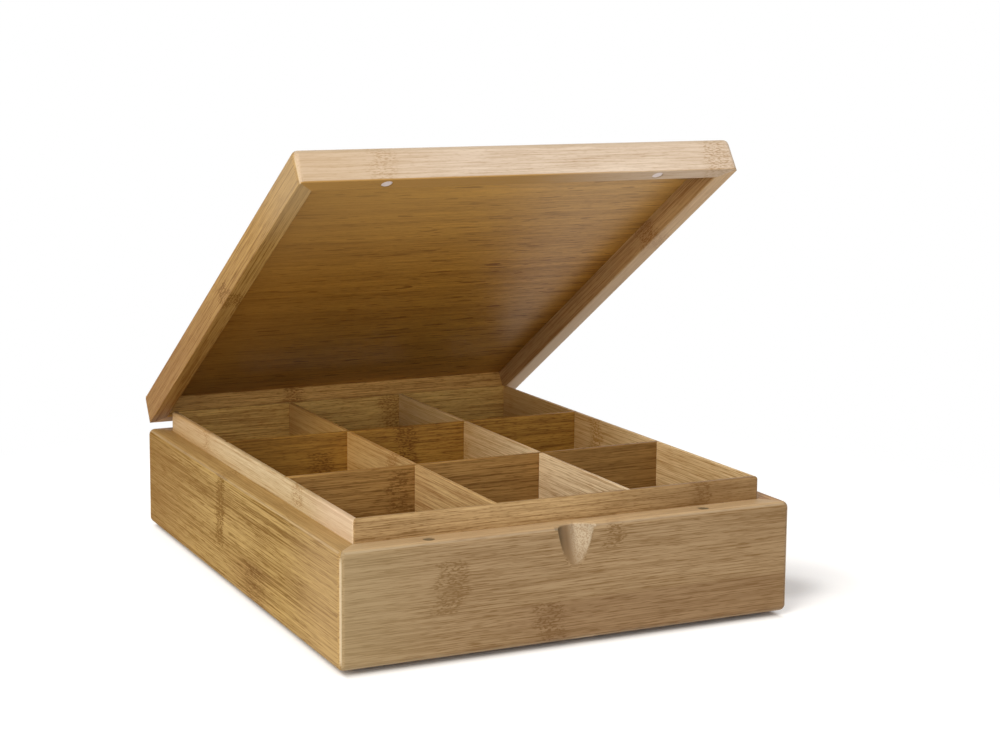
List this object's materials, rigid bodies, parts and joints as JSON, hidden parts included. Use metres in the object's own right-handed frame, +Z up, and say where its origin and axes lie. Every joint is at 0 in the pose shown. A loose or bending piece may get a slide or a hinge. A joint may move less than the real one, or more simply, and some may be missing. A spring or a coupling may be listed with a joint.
{
  "type": "tea bag organizer box",
  "caption": "Bamboo tea bag organizer: open-topped box of compartments with a raised lip and a hinged lid that fits over the lip.",
  "frame": {"origin": "middle of the underside of the bottom panel, flush with the foot of the walls; the rubber feet reach 2.5 mm below it", "axes": "+X to the right seen from the front, +Y from the front to the hinged back, +Z up; the lid is drawn 32.5 degrees open, as in the picture"},
  "size_m": [0.246, 0.3162, 0.2389],
  "materials": {
    "wall_bamboo": "satin varnished side-pressed bamboo",
    "liner_bamboo": "satin varnished side-pressed bamboo",
    "divider_bamboo": "satin varnished bamboo board",
    "floor_bamboo": "satin varnished bamboo board",
    "lid_frame_bamboo": "satin varnished side-pressed bamboo",
    "lid_panel_bamboo": "satin varnished side-pressed bamboo",
    "hinge_steel": "nickel plated pressed steel",
    "pin_steel": "bright steel wire",
    "screw_steel": "nickel plated countersunk screw",
    "magnet_nickel": "nickel plated magnet disc",
    "foot_rubber": "black moulded rubber"
  },
  "bodies": {
    "base": {"front_wall": "wall_bamboo", "back_wall": "wall_bamboo", "left_wall": "wall_bamboo", "right_wall": "wall_bamboo", "bottom_panel": "floor_bamboo", "front_liner": "liner_bamboo", "back_liner": "liner_bamboo", "left_liner": "liner_bamboo", "right_liner": "liner_bamboo", "long_divider_left": "divider_bamboo", "long_divider_right": "divider_bamboo", "cross_divider_front": "divider_bamboo", "cross_divider_back": "divider_bamboo", "foot_front_left": "foot_rubber", "foot_front_right": "foot_rubber", "foot_back_left": "foot_rubber", "foot_back_right": "foot_rubber", "base_magnet_left": "magnet_nickel", "base_magnet_right": "magnet_nickel", "hinge_base_leaf_left": "hinge_steel", "hinge_base_leaf_right": "hinge_steel", "hinge_pin_left": "pin_steel", "hinge_pin_right": "pin_steel", "base_hinge_screws": "screw_steel"},
    "lid": {"lid_front_rail": "lid_frame_bamboo", "lid_back_rail": "lid_frame_bamboo", "lid_left_rail": "lid_frame_bamboo", "lid_right_rail": "lid_frame_bamboo", "lid_panel": "lid_panel_bamboo", "lid_magnet_left": "magnet_nickel", "lid_magnet_right": "magnet_nickel", "hinge_lid_leaf_left": "hinge_steel", "hinge_lid_leaf_right": "hinge_steel", "lid_hinge_screws": "screw_steel"}
  },
  "joints": [
    {"name": "lid_hinge", "type": "hinge", "parent": "base", "child": "lid", "pos_m": [0, 0.1562, 0.054], "axis": [-1, 0, 0], "range_deg": [-32.5, 63.5]}
  ]
}
